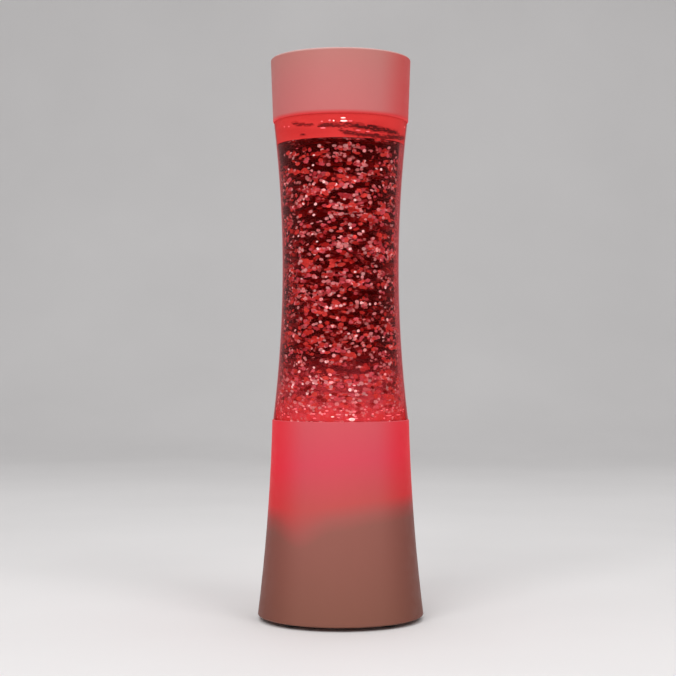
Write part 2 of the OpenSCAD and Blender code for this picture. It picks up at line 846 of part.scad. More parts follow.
// Outside of the bottle from its foot to its mouth
module bottle_outside() {
    translate([0, bottle_z]) square([low_spigot_r, sink_depth]);
    translate([low_spigot_r, low_bead_z]) circle(bead_r);
    flared(bottle_c, bottle_arc, seam_z, cap_z);
    translate([high_spigot_r, high_bead_z]) circle(bead_r);
    polygon([
        [0, cap_z], [high_spigot_r, cap_z], [high_spigot_r, spigot_top],
        [neck_r, neck_z], [neck_r, neck_top], [0, neck_top]
    ]);
}

// Inside of the bottle, stood off from the wall by gap
module bottle_hollow(gap) {
    low_r = low_spigot_r - bottle_wall - gap;
    high_r = high_spigot_r - bottle_wall - gap;
    drop = shoulder_drop();
    translate([0, floor_z]) square([low_r, seam_z - floor_z]);
    flared(bottle_c, bottle_arc + bottle_wall + gap, seam_z, cap_z);
    polygon([
        [0, cap_z], [high_r, cap_z], [high_r, shoulder_z(high_r) - drop],
        [mouth_r, shoulder_z(mouth_r) - drop], [mouth_r, neck_top + past], [0, neck_top + past]
    ]);
}

module bottle() {
    color("salmon", 0.35) difference() {
        union() {
            revolve() difference() {
                bottle_outside();
                bottle_hollow(0);
            }
            translate([0, 0, pin_z]) cylinder(r = pin_boss_r, h = floor_z + pin_boss_h - pin_z);
        }
        translate([0, 0, pin_z]) cylinder(r = pin_r + magnet_gap, h = pin_boss_h + bottle_floor);
    }
}

module stirrer_pin() {
    color("silver") translate([0, 0, pin_z]) cylinder(r = pin_r, h = pin_cap_z + pin_cap_h / 2 - pin_z);
}

module pin_cap() {
    color("white") difference() {
        translate([0, 0, pin_cap_z]) cylinder(r = pin_boss_r, h = pin_cap_h);
        translate([0, 0, pin_cap_z - past]) cylinder(r = pin_r + magnet_gap, h = pin_cap_h / 2 + past);
    }
}

module stirrer() {
    blade_angles = [for (i = [0:blade_count - 1]) i * 360 / blade_count];
    color("white") difference() {
        union() {
            translate([0, 0, stirrer_z]) cylinder(r = stirrer_r, h = stirrer_disc);
            translate([0, 0, stirrer_z]) cylinder(r = stirrer_hub_r, h = stirrer_top - stirrer_z);
            for (a = blade_angles) rotate(a) translate([0, -blade_t / 2, blade_z - past]) {
                cube([stirrer_r - blade_t, blade_t, blade_h + past]);
            }
        }
        hole(pin_r + pin_gap, stirrer_z, stirrer_top);
        round_axis([0, 180], magnet_at, stirrer_z - past) cylinder(r = magnet_hole_r, h = magnet_t + past);
    }
}

module stirrer_magnets() {
    color("gray") round_axis([0, 180], magnet_at, stirrer_z) cylinder(r = magnet_r, h = magnet_t);
}

module liquid() {
    color("firebrick", 0.5) revolve() difference() {
        intersection() {
            bottle_hollow(liquid_gap);
            square([base_d, level_z]);
        }
        square([sweep_r, sweep_top]);
    }
}

// Middle and turns of a flake that faces out from the axis, from five chance values between 0 and 1
function flake_spot(chance) =
    let (low = sweep_top + flake_r)
    let (high = level_z - flake_r - flake_margin)
    let (z = low + (high - low) * pow(chance[0], flake_settle))
    let (at = (bottle_inside(z) - liquid_gap - flake_margin - flake_r) * sqrt(chance[1]))
    let (turn = 360 * chance[2])
    let (lean = flake_tilt * (2 * chance[3] - 1))
    let (swing = flake_tilt * (2 * chance[4] - 1))
    [[at * cos(turn), at * sin(turn), z], [0, 90 + lean, turn + swing]];

// Spots that stay clear of each other, taken in order from the rows of chance values
function clear_spots(rows, spots = [], i = 0) =
    i == len(rows) || len(spots) == flake_count ? spots :
    let (spot = flake_spot(rows[i]))
    let (near = [for (other = spots) if (norm(other[0] - spot[0]) < flake_space) other])
    clear_spots(rows, len(near) == 0 ? concat(spots, [spot]) : spots, i + 1);

module glitter_flakes() {
    row_count = 2 * flake_count;
    row_l = 5;
    chances = rands(0, 1, row_l * row_count, flake_seed);
    rows = [for (i = [0:row_count - 1]) [for (k = [0:row_l - 1]) chances[row_l * i + k]]];
    color("hotpink") for (spot = clear_spots(rows)) translate(spot[0]) rotate(spot[1]) {
        cylinder(r = flake_r, h = flake_t, center = true, $fn = flake_sides);
    }
}

module bottle_stopper() {
    shank_r = mouth_r - fit_gap;
    groove = seal_r + magnet_gap;
    color("white") revolve() difference() {
        union() {
            translate([0, neck_top]) square([neck_r, stopper_flange]);
            translate([0, neck_top - stopper_depth]) square([shank_r, stopper_depth]);
        }
        translate([seal_at - groove, seal_z - groove]) square(2 * groove);
    }
}

module stopper_seal() {
    color("black") revolve() translate([seal_at, seal_z]) circle(seal_r);
}

module top_cap() {
    inner_z = spigot_top + fit_gap;
    inner_top = top_z - cap_wall;
    color("lightsalmon") revolve() difference() {
        polygon([[0, cap_z], [cap_d / 2, cap_z], [cap_top_d / 2, top_z], [0, top_z]]);
        polygon([
            [0, cap_z - past], [cap_bore_r, cap_z - past], [cap_bore_r, inner_z],
            [cap_side(inner_z) - cap_wall, inner_z], [cap_side(inner_top) - cap_wall, inner_top],
            [0, inner_top]
        ]);
        translate([high_spigot_r, high_bead_z]) circle(bead_r + fit_gap);
        edge_cut(cap_top_d / 2, top_z, edge_round, 1);
        edge_cut(cap_d / 2, cap_z, rim_round, -1);
    }
}

base_shell();
bottom_cover();
cover_screws();
rubber_feet();
battery_door();
door_contacts();
door_spring();
battery_cells();
pocket_springs();
pocket_contacts();
switch_case();
switch_screws();
switch_knob();
light_deck();
deck_screws();
led_board();
leds();
control_chip();
motor_can();
motor_end_bell();
motor_strap();
strap_screws();
motor_shaft();
magnet_hub();
drive_magnets();
battery_leads();
switch_leads();
bottle();
stirrer_pin();
pin_cap();
stirrer();
stirrer_magnets();
liquid();
glitter_flakes();
bottle_stopper();
stopper_seal();
top_cap();
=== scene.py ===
"""Glitter lamp: finishes, liquid, glitter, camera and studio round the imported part."""
import bisect
import collections
import math
import random

import bmesh
import bpy
import mathutils
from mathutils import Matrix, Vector


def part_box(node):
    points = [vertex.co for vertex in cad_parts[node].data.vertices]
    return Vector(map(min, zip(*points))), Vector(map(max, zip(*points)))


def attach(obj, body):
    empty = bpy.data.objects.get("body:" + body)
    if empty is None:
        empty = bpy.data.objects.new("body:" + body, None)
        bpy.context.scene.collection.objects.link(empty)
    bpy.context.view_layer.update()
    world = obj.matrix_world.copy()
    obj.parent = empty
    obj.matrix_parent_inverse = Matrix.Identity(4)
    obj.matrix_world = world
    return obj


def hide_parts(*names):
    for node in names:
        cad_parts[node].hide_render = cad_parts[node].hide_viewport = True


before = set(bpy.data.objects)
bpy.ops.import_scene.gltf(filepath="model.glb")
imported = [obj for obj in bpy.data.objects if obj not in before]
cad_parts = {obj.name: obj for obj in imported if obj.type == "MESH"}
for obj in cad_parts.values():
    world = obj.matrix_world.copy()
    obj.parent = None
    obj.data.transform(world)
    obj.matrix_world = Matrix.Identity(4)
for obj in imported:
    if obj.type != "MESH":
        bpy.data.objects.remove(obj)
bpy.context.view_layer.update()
HOUSING = "housing"
MM = 0.001

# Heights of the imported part, in metres
SHELL_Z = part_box("base_shell")[0].z
SEAM_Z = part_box("base_shell")[1].z
CAP_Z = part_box("top_cap")[0].z
TOP_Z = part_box("top_cap")[1].z
FLOOR_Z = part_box("liquid")[0].z
LEVEL_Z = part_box("liquid")[1].z
STIRRER_SPACE = 1.5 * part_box("stirrer")[1].x

# Camera: the photo's angle, level and a little under half height
FOCAL_PX = 1550
PHOTO_PX = 676
SENSOR_MM = 36
CAMERA_AT = Vector((-0.0016, -0.9378, 0.160))
CAMERA_PITCH = 0.555


def srgb(red, green, blue):
    """Linear colour with alpha from 0 to 255 screen values."""
    def linear(value):
        share = value / 255
        return share / 12.92 if share <= 0.04045 else ((share + 0.055) / 1.055) ** 2.4
    return (linear(red), linear(green), linear(blue), 1.0)


# Materials

def add(tree, kind, values=None, **settings):
    """New node with its socket values and its own settings."""
    node = tree.nodes.new(kind)
    for key, value in settings.items():
        setattr(node, key, value)
    for key, value in (values or {}).items():
        node.inputs[key].default_value = value
    return node


def new_material(name, **values):
    """Material with a Principled shader whose sockets take these values."""
    made = bpy.data.materials.new(name)
    made.use_nodes = True
    shader = made.node_tree.nodes["Principled BSDF"]
    for key, value in values.items():
        shader.inputs[key.replace("_", " ")].default_value = value
    return made, made.node_tree, shader


def object_coords(tree):
    """Places in the object's own frame, in metres."""
    return add(tree, "ShaderNodeTexCoord").outputs["Object"]


def noise(tree, scale, detail=3.0, coords=None):
    """Noise texture in object space, or along given coordinates."""
    made = add(tree, "ShaderNodeTexNoise", {"Scale": scale, "Detail": detail})
    tree.links.new(coords or object_coords(tree), made.inputs["Vector"])
    return made.outputs["Fac"]


def spread(tree, value, low, high, start=0.35, end=0.65, smooth=False):
    """Value from start to end moved to low to high."""
    made = add(tree, "ShaderNodeMapRange", {"From Min": start, "From Max": end,
                                            "To Min": low, "To Max": high})
    if smooth:
        made.interpolation_type = "SMOOTHSTEP"
    tree.links.new(value, made.inputs["Value"])
    return made.outputs["Result"]


def combine(tree, operation, first, second):
    """Math node over two outputs."""
    made = add(tree, "ShaderNodeMath", operation=operation)
    tree.links.new(first, made.inputs[0])
    tree.links.new(second, made.inputs[1])
    return made.outputs["Value"]


def grain(tree, shader, scale, height):
    """Fine bumps of that height in metres."""
    bump = add(tree, "ShaderNodeBump", {"Strength": 0.6, "Distance": height})
    tree.links.new(noise(tree, scale), bump.inputs["Height"])
    tree.links.new(bump.outputs["Normal"], shader.inputs["Normal"])


def ramp(tree, value, stops, steps=False):
    """Colour ramp with stops of (place, colour)."""
    made = add(tree, "ShaderNodeValToRGB")
    if steps:
        made.color_ramp.interpolation = "CONSTANT"
    while len(made.color_ramp.elements) < len(stops):
        made.color_ramp.elements.new(0.5)
    for element, (place, colour) in zip(made.color_ramp.elements, stops):
        element.position = place
        element.color = colour
    tree.links.new(value, made.inputs["Fac"])
    return made.outputs["Color"]


def mottled(shade, colour, edge=0.3):
    """Ramp stops that take a noise value from a shade to a colour."""
    return [(edge, shade), (1 - edge, colour)]


def uneven_gloss(tree, shader, scale, low, high):
    """Roughness that wanders from low to high."""
    tree.links.new(spread(tree, noise(tree, scale), low, high), shader.inputs["Roughness"])


def lit_tint(tree, shader, tint):
    """One tint for a surface and for its own light."""
    for socket in ("Base Color", "Emission Color"):
        tree.links.new(tint, shader.inputs[socket])


def height_share(tree, low, high, sway, tilt=0.0, spill=None):
    """0 at height low to 1 at high, tilted across x and swayed by soft noise.

    spill is a point near which it grows, how far that reaches and by how much height at most.
    """
    coords = object_coords(tree)
    split = add(tree, "ShaderNodeSeparateXYZ")
    tree.links.new(coords, split.inputs["Vector"])
    lean = add(tree, "ShaderNodeMath", {1: tilt}, operation="MULTIPLY_ADD")
    tree.links.new(split.outputs["X"], lean.inputs[0])
    tree.links.new(split.outputs["Z"], lean.inputs[2])
    drift = add(tree, "ShaderNodeMath", {1: sway}, operation="MULTIPLY_ADD")
    tree.links.new(noise(tree, scale=28, detail=1.0, coords=coords), drift.inputs[0])
    tree.links.new(lean.outputs["Value"], drift.inputs[2])
    height = drift.outputs["Value"]
    if spill:
        at, reach, most = spill
        away = add(tree, "ShaderNodeVectorMath", {1: at}, operation="DISTANCE")
        tree.links.new(coords, away.inputs[0])
        rise = spread(tree, away.outputs["Value"], low=most, high=0, start=0, end=reach, smooth=True)
        height = combine(tree, "ADD", height, rise)
    return spread(tree, height, low=0, high=1, start=low + sway / 2, end=high + sway / 2)


def facing_share(tree, axis, start, end, both=False):
    """0 to 1 as a face turns to an axis, or to either end of it if both.

    start and end say how much of the face's normal lies along the axis there.
    """
    split = add(tree, "ShaderNodeSeparateXYZ")
    tree.links.new(add(tree, "ShaderNodeTexCoord").outputs["Normal"], split.inputs["Vector"])
    along = split.outputs[axis]
    if both:
        size = add(tree, "ShaderNodeMath", operation="ABSOLUTE")
        tree.links.new(along, size.inputs[0])
        along = size.outputs["Value"]
    return spread(tree, along, low=0, high=1, start=start, end=end, smooth=True)


def plastic(name, colour, shade, roughness=0.42):
    """Moulded plastic whose colour and gloss vary a little."""
    made, tree, shader = new_material(name)
    tint = ramp(tree, noise(tree, scale=45, detail=2.0), mottled(shade, colour))
    tree.links.new(tint, shader.inputs["Base Color"])
    uneven_gloss(tree, shader, scale=160, low=roughness - 0.05, high=roughness + 0.06)
    grain(tree, shader, scale=2600, height=0.02 * MM)
    return made


def metal(name, colour, shade, roughness):
    """Worked metal with a faintly uneven finish."""
    made, tree, shader = new_material(name, Metallic=1.0)
    tint = ramp(tree, noise(tree, scale=220), mottled(shade, colour))
    tree.links.new(tint, shader.inputs["Base Color"])
    uneven_gloss(tree, shader, scale=700, low=roughness - 0.08, high=roughness + 0.1)
    grain(tree, shader, scale=1800, height=0.01 * MM)
    return made


def two_way_ramp(tree, share, factor, first_stops, second_stops):
    """Mix of two ramps over the same share; the factor goes from the first to the second."""
    made = add(tree, "ShaderNodeMix", data_type="RGBA")
    tree.links.new(factor, made.inputs["Factor"])
    tree.links.new(ramp(tree, share, first_stops), made.inputs["A"])
    tree.links.new(ramp(tree, share, second_stops), made.inputs["B"])
    return made.outputs["Result"]


def capped_jacket(name, jacket, ends, roughness=0.3):
    """Plain jacket round a cell with bare metal ends; jacket and ends are pairs of colour and shade."""
    made, tree, shader = new_material(name)
    bare = facing_share(tree, "Z", start=0.5, end=0.6, both=True)
    stops = [mottled(shade, colour) for colour, shade in (jacket, ends)]
    tint = two_way_ramp(tree, noise(tree, scale=90), bare, *stops)
    tree.links.new(tint, shader.inputs["Base Color"])
    tree.links.new(bare, shader.inputs["Metallic"])
    uneven_gloss(tree, shader, scale=260, low=roughness - 0.06, high=roughness + 0.08)
    grain(tree, shader, scale=1800, height=0.01 * MM)
    return made


def lit_plastic(name, low, high, colours, glows, side, **lines):
    """White plastic with the inside lights' glow painted on by height, and painted shade and a redder glow
    round its sides.

    colours and glows are pairs of ramps for the front and for the side. side holds the values that
    facing_share takes, and lines those that say how height_share's lines of equal height run.
    """
    made, tree, shader = new_material(name, Emission_Strength=1.0, Specular_IOR_Level=0.15)
    share = height_share(tree, low, high, **lines)
    # Painted shade: faces turned to the side take darker, redder colours and glows
    painted_side_shade = facing_share(tree, "X", *side)
    tree.links.new(two_way_ramp(tree, share, painted_side_shade, *colours), shader.inputs["Base Color"])
    tree.links.new(two_way_ramp(tree, share, painted_side_shade, *glows), shader.inputs["Emission Color"])
    uneven_gloss(tree, shader, scale=140, low=0.4, high=0.5)
    grain(tree, shader, scale=2600, height=0.015 * MM)
    return made


def edge_gloss(tree, least, most, power=4.0):
    """Share of gloss on an outer face, growing towards its edge; none on inner faces."""
    facing = add(tree, "ShaderNodeLayerWeight", {"Blend": 0.5}).outputs["Facing"]
    steep = add(tree, "ShaderNodeMath", {1: power}, operation="POWER")
    tree.links.new(facing, steep.inputs[0])
    share = spread(tree, steep.outputs["Value"], low=least, high=most, start=0, end=1)
    inner = add(tree, "ShaderNodeNewGeometry").outputs["Backfacing"]
    outer = spread(tree, inner, low=1, high=0, start=0, end=1)
    return combine(tree, "MULTIPLY", share, outer)


def clear_plastic(name, colour, density, sheen, roughness=0.08):
    """Clear wall with an edge gloss, tinted by the depth of plastic that light crosses."""
    made, tree, shader = new_material(name)
    tree.nodes.remove(shader)
    out = tree.nodes["Material Output"]
    through = add(tree, "ShaderNodeBsdfTransparent")
    gloss = add(tree, "ShaderNodeBsdfGlossy", {"Color": sheen, "Roughness": roughness})
    soak = add(tree, "ShaderNodeVolumeAbsorption", {"Color": colour, "Density": density})
    mix = add(tree, "ShaderNodeMixShader")
    tree.links.new(edge_gloss(tree, least=0.004, most=0.11), mix.inputs["Fac"])
    tree.links.new(through.outputs["BSDF"], mix.inputs[1])
    tree.links.new(gloss.outputs["BSDF"], mix.inputs[2])
    tree.links.new(mix.outputs["Shader"], out.inputs["Surface"])
    tree.links.new(soak.outputs["Volume"], out.inputs["Volume"])
    grain(tree, gloss, scale=90, height=0.02 * MM)
    return made


def dark_liquid(name, colour, density):
    """Clear liquid that bends light and takes it up."""
    made, tree, _ = new_material(name, Base_Color=(1.0, 1.0, 1.0, 1.0), Transmission_Weight=1.0,
                                 IOR=1.34, Roughness=0.0, Specular_Tint=(0.15, 0.04, 0.04, 1.0))
    soak = add(tree, "ShaderNodeVolumeAbsorption", {"Color": colour, "Density": density})
    tree.links.new(soak.outputs["Volume"], tree.nodes["Material Output"].inputs["Volume"])
    return made


def sparkle(name, colour, shade, strength):
    """Glitter film that glows in the lamp's light."""
    made, tree, shader = new_material(name, Metallic=0.35, Roughness=0.3, Emission_Strength=strength)
    lit_tint(tree, shader, ramp(tree, noise(tree, scale=420, detail=2.0), mottled(shade, colour, edge=0.35)))
    return made


def mixed_sparkle(name, stops, strength):
    """Glitter film with one of several colours on each flake."""
    made, tree, shader = new_material(name, Metallic=0.35, Emission_Strength=strength)
    chance = add(tree, "ShaderNodeNewGeometry").outputs["Random Per Island"]
    lit_tint(tree, shader, ramp(tree, chance, stops, steps=True))
    uneven_gloss(tree, shader, scale=420, low=0.25, high=0.4)
    return made


def haze(name, colour, strength, low, high, thickest):
    """Soft glow that thins out from height low to high."""
    made, tree, shader = new_material(name, Base_Color=colour, Roughness=0.9,
                                      Emission_Color=colour, Emission_Strength=strength)
    share = height_share(tree, low, high, sway=4 * MM)
    thick = spread(tree, share, low=thickest, high=0.0, start=0, end=1, smooth=True)
    patches = spread(tree, noise(tree, scale=170), low=0.55, high=1.0)
    tree.links.new(combine(tree, "MULTIPLY", thick, patches), shader.inputs["Alpha"])
    return made


# How much of the wall's normal lies along y where the gleam begins and where it is full, at each of its edges
GLEAM_FRONT = (-0.43, -0.37)
GLEAM_BACK = (0.17, -0.21)


def side_gleam(name, colour, shade, thickest):
    """Painted soft light on one side of the wall, cut off sharply towards the front and fading towards the
    back.
    """
    made, tree, shader = new_material(name, Roughness=0.5, Specular_IOR_Level=0.15, Emission_Strength=0.4)
    lit_tint(tree, shader, ramp(tree, noise(tree, scale=60, detail=2.0), mottled(shade, colour, edge=0.35)))
    sharp = facing_share(tree, "Y", *GLEAM_FRONT)
    slow = facing_share(tree, "Y", *GLEAM_BACK)
    patches = spread(tree, noise(tree, scale=130), low=0.6 * thickest, high=thickest)
    strip = combine(tree, "MULTIPLY", sharp, slow)
    tree.links.new(combine(tree, "MULTIPLY", strip, patches), shader.inputs["Alpha"])
    return made


def wet_film(name, colour, shade, strength, flatness=4.0):
    """Red-lit film of liquid on the wall, in blotches that lie flat."""
    made, tree, shader = new_material(name, Roughness=0.45, Specular_IOR_Level=0.15,
                                      Emission_Strength=strength)
    flat = add(tree, "ShaderNodeMapping", {"Scale": (1.0, 1.0, flatness)})
    tree.links.new(object_coords(tree), flat.inputs["Vector"])
    blotches = noise(tree, scale=40, detail=2.0, coords=flat.outputs["Vector"])
    lit_tint(tree, shader, ramp(tree, blotches, mottled(shade, colour, edge=0.35)))
    return made


# white_shell: white plastic painted pinkish brown, as in the lamp's red light and shade
WHITE_SHELL = plastic("white_shell", srgb(170, 122, 112), srgb(160, 112, 102))
BLACK_PLASTIC = plastic("black_plastic", srgb(42, 42, 44), srgb(32, 32, 34), roughness=0.5)
GREY_RUBBER = plastic("grey_rubber", srgb(70, 68, 68), srgb(58, 56, 56), roughness=0.75)
INNER_WHITE = plastic("inner_white", srgb(226, 222, 216), srgb(214, 210, 204), roughness=0.5)
BOARD_GREEN = plastic("board_green", srgb(24, 82, 50), srgb(18, 66, 40), roughness=0.35)
WIRE_RED = plastic("wire_red", srgb(178, 34, 30), srgb(156, 26, 24), roughness=0.4)
CELL_JACKET = capped_jacket("cell_jacket", (srgb(58, 74, 92), srgb(48, 62, 80)),
                            (srgb(204, 202, 198), srgb(178, 176, 172)))
LIGHT_CAP = sparkle("light_cap", srgb(255, 96, 88), srgb(240, 66, 60), strength=1.2)
STEEL = metal("steel", srgb(196, 196, 198), srgb(168, 168, 172), roughness=0.32)
NICKEL = metal("nickel", srgb(206, 200, 188), srgb(180, 174, 164), roughness=0.24)
MAGNET_GREY = metal("magnet_grey", srgb(120, 120, 126), srgb(98, 98, 104), roughness=0.4)

# Base: brownish pink below the light deck (painted red light and shade on white plastic), painted pink glow
# above it, painted shade and redder glow round its sides
BASE_GLOW = lit_plastic(
    "base_glow", SHELL_Z, SEAM_Z,
    ([(0.0, srgb(136, 87, 73)), (0.47, srgb(149, 92, 82)), (0.53, srgb(160, 89, 82)),
      (0.60, srgb(172, 76, 73)), (0.80, srgb(185, 67, 80)), (1.0, srgb(184, 76, 82))],
     [(0.0, srgb(121, 69, 56)), (0.47, srgb(131, 72, 62)), (0.53, srgb(150, 60, 54)),
      (0.60, srgb(184, 36, 40)), (0.80, srgb(198, 24, 42)), (1.0, srgb(198, 30, 43))]),
    ([(0.0, srgb(0, 0, 0)), (0.47, srgb(12, 4, 4)), (0.53, srgb(60, 20, 20)),
      (0.60, srgb(106, 32, 34)), (0.80, srgb(124, 34, 44)), (1.0, srgb(122, 40, 48))],
     [(0.0, srgb(0, 0, 0)), (0.47, srgb(12, 4, 4)), (0.53, srgb(60, 14, 14)),
      (0.60, srgb(120, 14, 18)), (0.80, srgb(140, 10, 24)), (1.0, srgb(138, 14, 26))]),
    side=(0.45, 1.0, True), sway=6 * MM, tilt=-0.10,
    spill=((-24 * MM, -38 * MM, 48 * MM), 27 * MM, 9 * MM))
# Cap: glow painted by height, brightest at its lowest edge; painted shade and redder glow on its right side;
# a painted highlight along its top rim
CAP_GLOW = lit_plastic(
    "cap_glow", CAP_Z, TOP_Z,
    ([(0.0, srgb(120, 30, 32)), (0.02, srgb(150, 60, 60)), (0.06, srgb(184, 105, 104)),
      (0.6, srgb(182, 110, 107)), (0.965, srgb(178, 114, 108)), (0.99, srgb(188, 152, 148))],
     [(0.0, srgb(120, 26, 30)), (0.02, srgb(150, 42, 44)), (0.06, srgb(192, 69, 70)),
      (0.6, srgb(190, 74, 73)), (0.965, srgb(188, 78, 75)), (0.99, srgb(188, 122, 118))]),
    ([(0.0, srgb(196, 47, 49)), (0.02, srgb(162, 44, 45)), (0.06, srgb(90, 38, 38)),
      (0.6, srgb(80, 38, 38)), (0.965, srgb(74, 40, 38)), (0.99, srgb(66, 40, 38))],
     [(0.0, srgb(196, 42, 46)), (0.02, srgb(164, 34, 37)), (0.06, srgb(106, 24, 26)),
      (0.6, srgb(96, 24, 25)), (0.965, srgb(92, 24, 25)), (0.99, srgb(78, 28, 28))]),
    side=(0.5, 1.0, False), sway=1 * MM)
CLEAR_BOTTLE = clear_plastic("clear_bottle", colour=(0.82, 0.04, 0.06, 1.0), density=150.0,
                             sheen=(1.0, 0.5, 0.52, 1.0))
DARK_LIQUID = dark_liquid("dark_liquid", colour=(0.58, 0.03, 0.03, 1.0), density=80.0)
RED_FILM = wet_film("red_film", srgb(199, 54, 52), srgb(187, 45, 44), strength=0.39)
SHADE_FILM = wet_film("shade_film", srgb(184, 42, 40), srgb(152, 32, 31), strength=0.4)
DARK_FILM = wet_film("dark_film", srgb(128, 22, 22), srgb(74, 8, 10), strength=0.45)
# Painted highlights: glint for the white glints, pink_glint for pink ones and for flakes stuck on the wall
GLINT = sparkle("glint", srgb(252, 226, 220), srgb(240, 196, 192), strength=0.75)
PINK_GLINT = sparkle("pink_glint", srgb(232, 120, 128), srgb(222, 96, 106), strength=0.8)
LOOSE_FLAKES = mixed_sparkle("loose_flakes", [
    (0.0, srgb(206, 78, 70)), (0.34, srgb(206, 100, 112)), (0.54, srgb(140, 36, 38)),
    (0.61, srgb(224, 166, 166)), (0.80, srgb(202, 164, 162)), (0.93, srgb(250, 240, 236))], strength=0.8)

FINISHES = {
    "base_shell": BASE_GLOW, "top_cap": CAP_GLOW, "bottle": CLEAR_BOTTLE, "glitter_flakes": LOOSE_FLAKES,
    "bottom_cover": WHITE_SHELL, "battery_door": WHITE_SHELL,
    "rubber_feet": GREY_RUBBER, "switch_knob": BLACK_PLASTIC, "switch_case": BLACK_PLASTIC,
    "cover_screws": STEEL, "switch_screws": STEEL, "deck_screws": STEEL, "strap_screws": STEEL,
    "door_contacts": NICKEL, "door_spring": NICKEL, "pocket_springs": NICKEL, "pocket_contacts": NICKEL,
    "battery_cells": CELL_JACKET, "battery_leads": WIRE_RED, "switch_leads": WIRE_RED,
    "light_deck": INNER_WHITE, "led_board": BOARD_GREEN, "leds": LIGHT_CAP, "control_chip": BLACK_PLASTIC,
    "motor_can": STEEL, "motor_end_bell": INNER_WHITE, "motor_strap": STEEL, "motor_shaft": STEEL,
    "magnet_hub": INNER_WHITE, "drive_magnets": MAGNET_GREY, "stirrer_magnets": MAGNET_GREY,
    "stirrer": INNER_WHITE, "stirrer_pin": STEEL, "pin_cap": INNER_WHITE,
    "bottle_stopper": INNER_WHITE, "stopper_seal": BLACK_PLASTIC,
}


def dress_nodes():
    """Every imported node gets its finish."""
    for name, finish in FINISHES.items():
        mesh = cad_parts[name].data
        mesh.materials.clear()
        mesh.materials.append(finish)


# Inside of the bottle

def wall_line(inside, most_slope=0.5, digits=5):
    """Rising (z, r) pairs of the inside or the outside of the bottle's upright wall."""
    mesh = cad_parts["bottle"].data
    found = {}
    for face in mesh.polygons:
        inward = face.normal.x * face.center.x + face.normal.y * face.center.y < 0
        if inward == inside and abs(face.normal.z) < most_slope:
            for k in face.vertices:
                at = mesh.vertices[k].co
                found[round(at.z, digits)] = math.hypot(at.x, at.y)
    return sorted((z, r) for z, r in found.items() if r > STIRRER_SPACE)


INSIDE, OUTSIDE = wall_line(True), wall_line(False)
FILM_DEPTH = 0.6 * MM
FILM_STEP = 0.08 * MM
FILM_FOOT_Z = LEVEL_Z + 0.3 * MM
FILM_TOP_Z = CAP_Z - 0.1 * MM
GLEAM_LAYER, GLINT_LAYER = 0.4, 2


def radius_at(line, z):
    """Radius at height z on a line of (z, r) pairs."""
    heights = [pair[0] for pair in line]
    i = min(max(bisect.bisect(heights, z), 1), len(line) - 1)
    (z0, r0), (z1, r1) = line[i - 1], line[i]
    share = min(max((z - z0) / (z1 - z0), 0.0), 1.0)
    return r0 + (r1 - r0) * share


def wall_radius(z):
    """Radius of the inside of the bottle at height z."""
    return radius_at(INSIDE, z)


def film_radius(z):
    """Radius at which the film on the wall shows, just under the wall's outside."""
    return radius_at(OUTSIDE, z) - FILM_DEPTH


def on_film(angle, z, layer):
    """Point at an angle in degrees right of the front, at height z, some layers out from the film."""
    turn = math.radians(angle)
    r = film_radius(z) + layer * FILM_STEP
    return Vector((r * math.sin(turn), -r * math.cos(turn), z))


def joined(shapes):
    """One list of vertices and one of faces from several."""
    vertices, faces = [], []
    for more, corners in shapes:
        faces.extend(tuple(k + len(vertices) for k in face) for face in corners)
        vertices.extend(more)
    return vertices, faces


def piece(name, vertices, faces, finish, smooth=False):
    """Mesh that rides on the housing."""
    mesh = bpy.data.meshes.new(name)
    mesh.from_pydata(vertices, [], faces)
    mesh.materials.append(finish)
    mesh.polygons.foreach_set("use_smooth", [smooth] * len(mesh.polygons))
    mesh.update()
    made = bpy.data.objects.new(name, mesh)
    bpy.context.scene.collection.objects.link(made)
    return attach(made, HOUSING)


def turned(name, profile, finish, sides=144, closed=False):
    """Surface of revolution over (r, z) pairs, with flat ends if closed."""
    vertices, faces = [], []
    for r, z in profile:
        for k in range(sides):
            turn = 2 * math.pi * k / sides
            vertices.append((r * math.cos(turn), r * math.sin(turn), z))
    for i in range(len(profile) - 1):
        for k in range(sides):
            a, b = i * sides + k, i * sides + (k + 1) % sides
            faces.append((a, b, b + sides, a + sides))
    if closed:
        last = (len(profile) - 1) * sides
        faces.append(tuple(reversed(range(sides))))
        faces.append(tuple(range(last, last + sides)))
    return piece(name, vertices, faces, finish, smooth=True)


def steps_up(low, high, step):
    """Heights from low to high about a step apart."""
    count = max(2, math.ceil((high - low) / step))
    return [low + (high - low) * i / count for i in range(count + 1)]


def liquid_body():
    """Whole liquid with a raised rim, without the space round the stirrer.

    Over the seam it laps into the clear wall, so that it fills the outline as it does through a real wall.
    """
    gap, rim, climb = 0.05 * MM, 1.6 * MM, 0.8 * MM
    lap_depth, step = 0.25 * MM, 4 * MM
    side = [(wall_radius(z) - gap, z) for z in steps_up(FLOOR_Z + gap, SEAM_Z, step)]
    side += [(film_radius(z) - lap_depth, z) for z in steps_up(SEAM_Z + 2 * gap, LEVEL_Z, step)]
    edge = side[-1][0]
    lip = [(edge, LEVEL_Z + climb), (edge - rim / 3, LEVEL_Z + climb / 4), (edge - rim, LEVEL_Z)]
    body = turned("liquid_body", side + lip, DARK_LIQUID, closed=True)
    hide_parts("liquid")


def floor_glow():
    """Haze of light over the bottle's floor, inside the outermost flakes."""
    depth, foot, top = 5 * MM, SEAM_Z - 8 * MM, SEAM_Z + 46 * MM
    finish = haze("floor_haze", srgb(206, 90, 100), strength=0.88, low=SEAM_Z, high=top, thickest=0.8)
    heights = steps_up(foot, top, step=3 * MM)
    turned("floor_glow", [(wall_radius(z) - depth, z) for z in heights], finish)


def foot_glow():
    """Light that the foot of the bottle's wall carries up from the deck."""
    foot, full, top = SEAM_Z + 0.2 * MM, SEAM_Z + 1 * MM, SEAM_Z + 16 * MM
    finish = haze("foot_haze", srgb(204, 52, 58), strength=0.4, low=full, high=top, thickest=0.8)
    turned("foot_glow", [(film_radius(z), z) for z in steps_up(foot, top, step=2 * MM)], finish)


